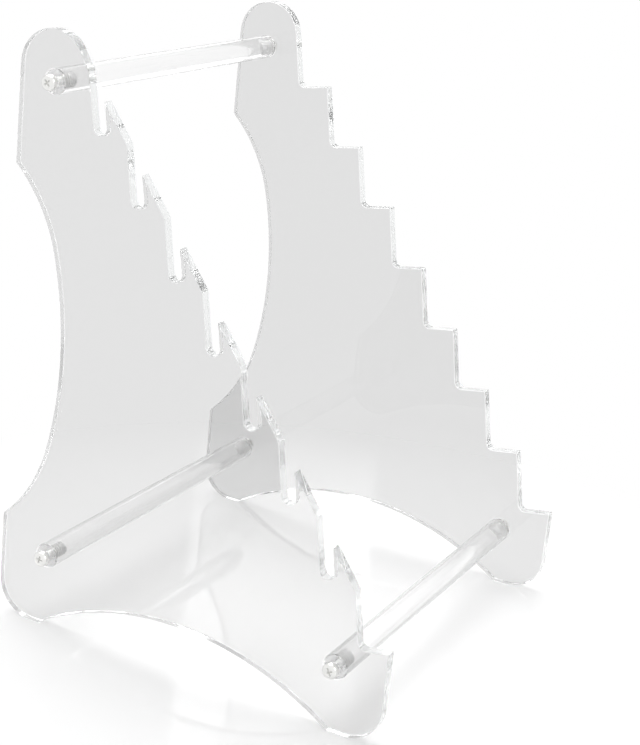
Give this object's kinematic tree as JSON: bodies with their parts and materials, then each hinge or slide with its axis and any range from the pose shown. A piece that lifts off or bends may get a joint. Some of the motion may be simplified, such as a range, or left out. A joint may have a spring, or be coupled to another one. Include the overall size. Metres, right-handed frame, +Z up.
{
  "type": "knife display stand",
  "caption": "Clear acrylic display stand for a tilted column of folding knives: a slotted side panel and a ledged side panel, screwed to the cross rods between them.",
  "frame": {"origin": "on the table under the middle of the stand: the middle of the overall box from left to right and from front to rear, at the underside of the feet", "axes": "+X to the right along the rods, toward the stepped panel; +Y from the front edge with its levels to the rear edge; +Z up"},
  "size_m": [0.1092, 0.1116, 0.1523],
  "materials": {
    "clear_sheet": "clear acrylic sheet, polished faces and laser-cut edges",
    "clear_rod": "clear acrylic rod, polished, with sawn ends",
    "bright_steel": "bright zinc-plated steel"
  },
  "bodies": {
    "root": {"slotted_panel": "clear_sheet", "stepped_panel": "clear_sheet", "top_rod": "clear_rod", "rear_rod": "clear_rod", "front_rod": "clear_rod", "panel_screws": "bright_steel"}
  },
  "joints": []
}
